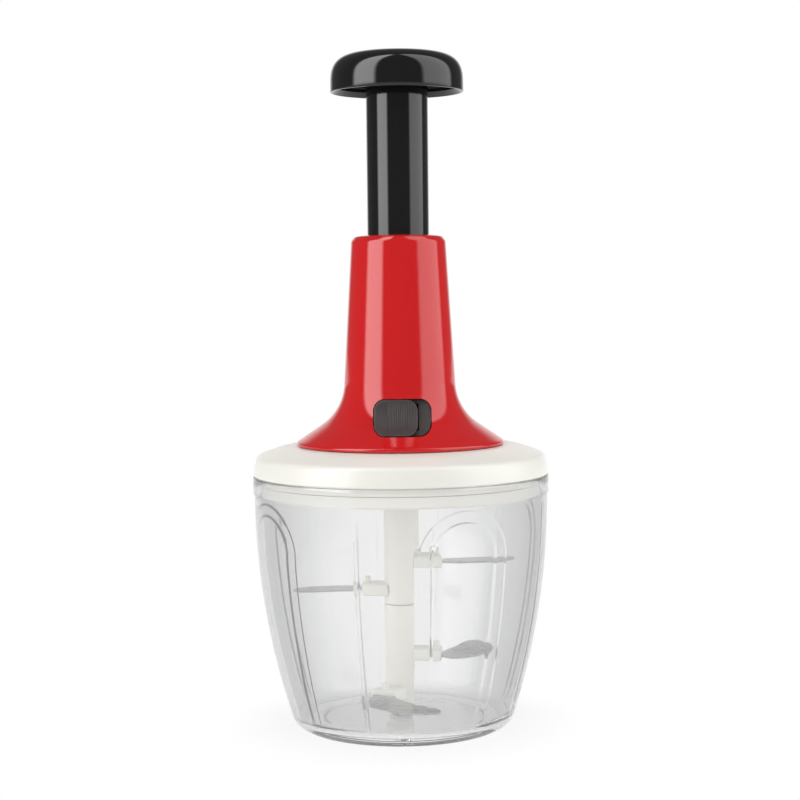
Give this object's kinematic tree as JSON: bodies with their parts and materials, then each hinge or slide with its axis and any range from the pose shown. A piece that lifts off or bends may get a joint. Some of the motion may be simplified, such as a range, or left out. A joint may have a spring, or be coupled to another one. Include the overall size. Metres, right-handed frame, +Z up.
{
  "type": "hand-press vegetable chopper",
  "caption": "Upright chopper with a clear bowl, domed lid, flared handle housing and a palm knob whose push turns the blade hub through a twisted bar.",
  "frame": {"origin": "centre of the bowl's foot, on the surface that the chopper stands on", "axes": "+Z up along the press axis, -Y towards the lock button on the front, +X to its right seen from the front"},
  "size_m": [0.13, 0.13, 0.2954],
  "materials": {
    "clear_plastic": "clear, polished",
    "cream_plastic": "satin",
    "red_plastic": "glossy",
    "black_plastic": "glossy",
    "grey_plastic": "fine satin",
    "white_nylon": "as moulded",
    "blade_steel": "ground",
    "plated_steel": "plated",
    "spring_steel": "drawn wire",
    "bearing_brass": "turned",
    "soft_silicone": "matte"
  },
  "bodies": {
    "bowl": {"bowl": "clear_plastic", "pivot_pin": "plated_steel"},
    "cutter": {"upper_hub": "cream_plastic", "lower_hub": "cream_plastic", "blade_1": "blade_steel", "blade_2": "blade_steel", "blade_3": "blade_steel", "blade_4": "blade_steel"},
    "head": {"lid": "cream_plastic", "lid_seal": "soft_silicone", "handle_housing": "red_plastic", "guide_bush": "white_nylon", "drive_base": "white_nylon", "bearing_bush": "bearing_brass", "thrust_washer": "plated_steel", "spring_seat": "plated_steel", "return_spring": "spring_steel", "head_screw_1": "plated_steel", "head_screw_2": "plated_steel", "head_screw_3": "plated_steel", "head_screw_4": "plated_steel", "lock_frame": "grey_plastic"},
    "plunger": {"plunger_tube": "black_plastic", "drive_nut": "white_nylon", "knob_cap": "black_plastic", "knob_base": "black_plastic", "knob_screw": "plated_steel"},
    "spindle": {"twist_spindle": "plated_steel", "drive_dog": "plated_steel", "cross_pin": "plated_steel", "retaining_clip": "spring_steel"},
    "lock": {"lock_slider": "grey_plastic", "lock_bolt": "white_nylon", "lock_screw": "plated_steel"}
  },
  "joints": [
    {"name": "lid_lift", "type": "slide", "parent": "bowl", "child": "head", "axis": [0, 0, 1], "range_m": [0, 0.06]},
    {"name": "plunger_press", "type": "slide", "parent": "head", "child": "plunger", "axis": [0, 0, -1], "range_m": [0, 0.058], "stiffness_N_per_m": 250, "springref_m": -0.02, "deforming": ["return_spring"]},
    {"name": "spindle_turn", "type": "hinge", "parent": "head", "child": "spindle", "pos_m": [0, 0, 0.135], "axis": [0, 0, 1], "range_deg": [0, 585]},
    {"name": "cutter_turn", "type": "hinge", "parent": "bowl", "child": "cutter", "pos_m": [0, 0, 0.0062], "axis": [0, 0, 1], "range_deg": [0, 585]},
    {"name": "lock_slide", "type": "slide", "parent": "head", "child": "lock", "axis": [1, 0, 0], "range_m": [0, 0.0055]}
  ],
  "couplings": [
    {"joint": "spindle_turn", "follows": "plunger_press", "rad_per_m": 174.53},
    {"joint": "cutter_turn", "follows": "plunger_press", "rad_per_m": 174.53}
  ]
}
